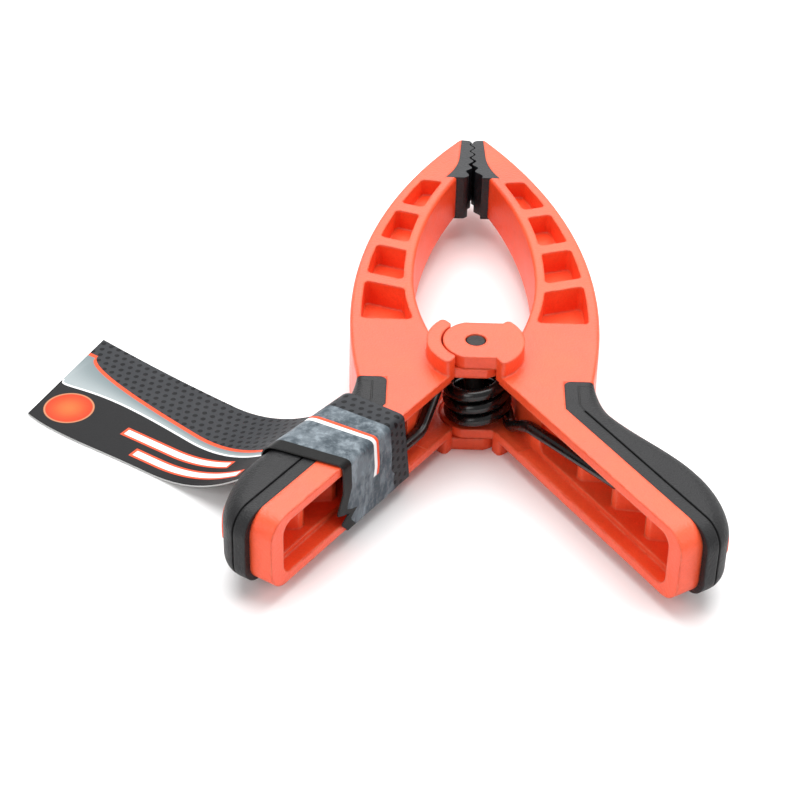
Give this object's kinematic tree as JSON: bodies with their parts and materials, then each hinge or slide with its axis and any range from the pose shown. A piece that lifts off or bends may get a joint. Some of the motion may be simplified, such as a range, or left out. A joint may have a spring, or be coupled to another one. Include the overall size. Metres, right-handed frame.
{
  "type": "spring clamp",
  "caption": "Hand spring clamp with long bowed jaws, toothed rubber pads, soft grips, a torsion spring at the pivot and a paper tag.",
  "frame": {"origin": "on the pivot axis, in the flat underside of the hub", "axes": "+Z along the pivot pin, +Y from the pivot to the jaw tips, +X to the right handle"},
  "size_m": [0.1428, 0.1517, 0.023],
  "materials": {
    "orange_nylon": "fine matte moulding",
    "grip_rubber": "soft matte rubber",
    "pad_rubber": "soft matte rubber",
    "dark_steel": "dark oxide steel",
    "black_wire": "glossy black coating",
    "printed_paper": "coated printed paper"
  },
  "bodies": {
    "left_side": {"left_arm": "orange_nylon", "left_grip": "grip_rubber", "left_jaw_pad": "pad_rubber", "pivot_pin": "dark_steel", "torsion_spring": "black_wire", "hang_tag": "printed_paper"},
    "right_side": {"right_arm": "orange_nylon", "right_grip": "grip_rubber", "right_jaw_pad": "pad_rubber"}
  },
  "joints": [
    {"name": "pivot", "type": "hinge", "parent": "left_side", "child": "right_side", "pos_m": [0, 0, 0.0115], "axis": [0, 0, -1], "range_deg": [0, 55], "stiffness_Nm_per_rad": 0.6, "springref_deg": -51.57, "deforming": ["torsion_spring"]}
  ]
}
